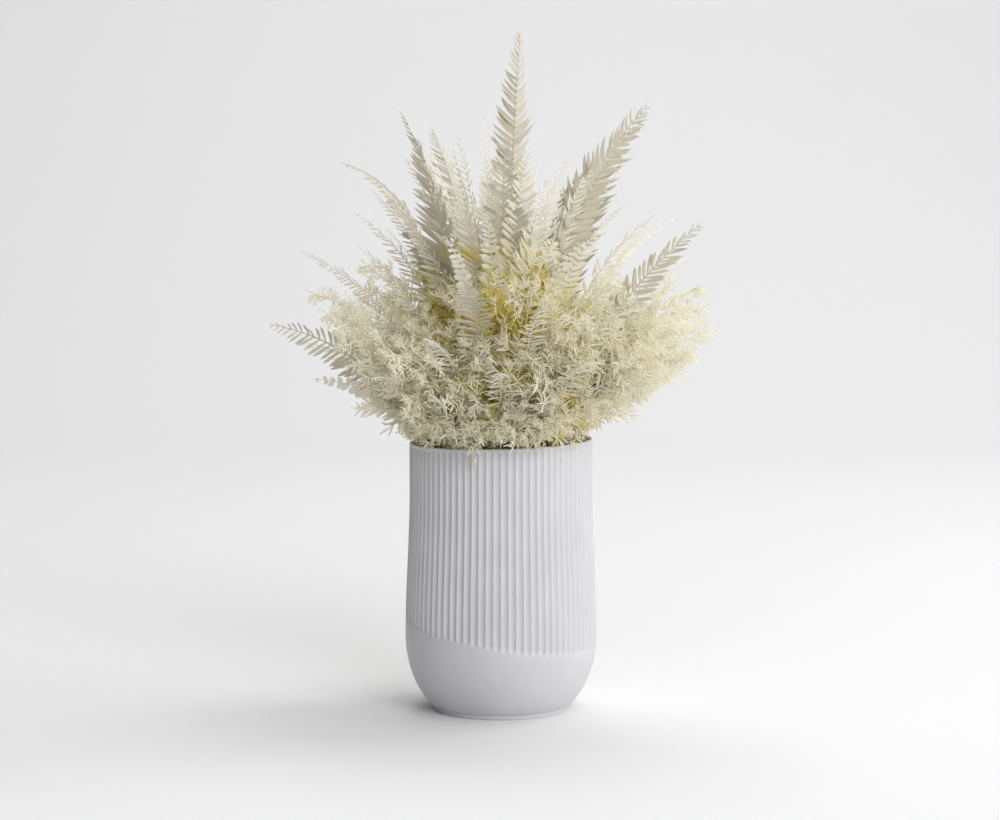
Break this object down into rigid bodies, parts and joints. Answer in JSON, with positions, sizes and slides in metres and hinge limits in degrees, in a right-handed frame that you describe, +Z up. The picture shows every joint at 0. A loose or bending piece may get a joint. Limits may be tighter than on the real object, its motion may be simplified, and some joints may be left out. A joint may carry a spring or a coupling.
{
  "type": "artificial fern arrangement",
  "caption": "Bleached artificial fern fronds and asparagus sprays standing in moss in a tall matt white fluted stoneware pot.",
  "frame": {"origin": "centre of the pot's flat base, on the surface it stands on", "axes": "+Z up the pot; the front of the arrangement faces -Y, where the flutes' slanted lower edge falls towards +X"},
  "size_m": [0.387, 0.3198, 0.6063],
  "materials": {
    "stoneware": "matt white glazed stoneware",
    "foam": "dry floral foam",
    "moss": "preserved moss",
    "wire": "plastic-sleeved wire",
    "leaf": "bleached pressed plastic leaf",
    "spray": "bleached moulded plastic spray"
  },
  "bodies": {
    "pot": {"pot": "stoneware"},
    "planting": {"foam_plug": "foam", "moss_layer": "moss", "tall_back_pick": "wire", "front_centre_pick": "wire", "left_upright_pick": "wire", "left_broad_pick": "wire", "left_arching_pick": "wire", "right_tall_pick": "wire", "right_second_pick": "wire", "low_left_pick": "wire", "front_nodding_pick": "wire", "far_right_pick": "wire", "back_left_pick": "wire", "back_right_pick": "wire", "asparagus_spray_01": "spray", "asparagus_spray_02": "spray", "asparagus_spray_03": "spray", "asparagus_spray_04": "spray", "asparagus_spray_05": "spray", "asparagus_spray_06": "spray", "asparagus_spray_07": "spray", "asparagus_spray_08": "spray", "asparagus_spray_09": "spray", "asparagus_spray_10": "spray", "asparagus_spray_11": "spray", "sword_spray_01": "spray", "sword_spray_02": "spray", "sword_spray_03": "spray", "sword_spray_04": "spray", "sword_spray_05": "spray", "sword_spray_06": "spray", "button_spray_01": "spray", "button_spray_02": "spray", "button_spray_03": "spray", "button_spray_04": "spray"},
    "tall_back_frond": {"tall_back_stem": "wire", "tall_back_leaf": "leaf"},
    "front_centre_frond": {"front_centre_stem": "wire", "front_centre_leaf": "leaf"},
    "left_upright_frond": {"left_upright_stem": "wire", "left_upright_leaf": "leaf"},
    "left_broad_frond": {"left_broad_stem": "wire", "left_broad_leaf": "leaf"},
    "left_arching_frond": {"left_arching_stem": "wire", "left_arching_leaf": "leaf"},
    "right_tall_frond": {"right_tall_stem": "wire", "right_tall_leaf": "leaf"},
    "right_second_frond": {"right_second_stem": "wire", "right_second_leaf": "leaf"},
    "low_left_frond": {"low_left_stem": "wire", "low_left_leaf": "leaf"},
    "front_nodding_frond": {"front_nodding_stem": "wire", "front_nodding_leaf": "leaf"},
    "far_right_frond": {"far_right_stem": "wire", "far_right_leaf": "leaf"},
    "back_left_frond": {"back_left_stem": "wire", "back_left_leaf": "leaf"},
    "back_right_frond": {"back_right_stem": "wire", "back_right_leaf": "leaf"}
  },
  "joints": [
    {"name": "planting_lift", "type": "slide", "parent": "pot", "child": "planting", "axis": [0, 0, 1], "range_m": [0, 0.15]},
    {"name": "tall_back_bend", "type": "hinge", "parent": "planting", "child": "tall_back_frond", "pos_m": [0.00244, 0.0071, 0.23508], "axis": [-0.9455, 0.3256, 0], "range_deg": [-4, 16]},
    {"name": "front_centre_bend", "type": "hinge", "parent": "planting", "child": "front_centre_frond", "pos_m": [0.00059, -0.0113, 0.23505], "axis": [0.9986, 0.0523, 0], "range_deg": [-4, 16]},
    {"name": "left_upright_bend", "type": "hinge", "parent": "planting", "child": "left_upright_frond", "pos_m": [-0.01519, 0.00053, 0.235], "axis": [-0.0349, -0.9994, 0], "range_deg": [-4, 16]},
    {"name": "left_broad_bend", "type": "hinge", "parent": "planting", "child": "left_broad_frond", "pos_m": [-0.01359, -0.01024, 0.23497], "axis": [0.6018, -0.7986, 0], "range_deg": [-4, 16]},
    {"name": "left_arching_bend", "type": "hinge", "parent": "planting", "child": "left_arching_frond", "pos_m": [-0.0269, 0.00771, 0.23472], "axis": [-0.2756, -0.9613, 0], "range_deg": [-4, 16]},
    {"name": "right_tall_bend", "type": "hinge", "parent": "planting", "child": "right_tall_frond", "pos_m": [0.02124, 0.00186, 0.23488], "axis": [-0.0872, 0.9962, 0], "range_deg": [-4, 16]},
    {"name": "right_second_bend", "type": "hinge", "parent": "planting", "child": "right_second_frond", "pos_m": [0.02084, -0.00972, 0.23485], "axis": [0.4226, 0.9063, 0], "range_deg": [-4, 16]},
    {"name": "low_left_bend", "type": "hinge", "parent": "planting", "child": "low_left_frond", "pos_m": [-0.05565, -0.00981, 0.23352], "axis": [0.1736, -0.9848, 0], "range_deg": [-4, 16]},
    {"name": "front_nodding_bend", "type": "hinge", "parent": "planting", "child": "front_nodding_frond", "pos_m": [-0.00868, -0.04085, 0.23424], "axis": [0.9781, -0.2079, 0], "range_deg": [-4, 16]},
    {"name": "far_right_bend", "type": "hinge", "parent": "planting", "child": "far_right_frond", "pos_m": [0.03785, -0.006, 0.23438], "axis": [0.1564, 0.9877, 0], "range_deg": [-4, 16]},
    {"name": "back_left_bend", "type": "hinge", "parent": "planting", "child": "back_left_frond", "pos_m": [-0.01114, 0.01783, 0.23489], "axis": [-0.848, -0.5299, 0], "range_deg": [-4, 16]},
    {"name": "back_right_bend", "type": "hinge", "parent": "planting", "child": "back_right_frond", "pos_m": [0.01726, 0.01788, 0.2348], "axis": [-0.7193, 0.6947, 0], "range_deg": [-4, 16]}
  ]
}
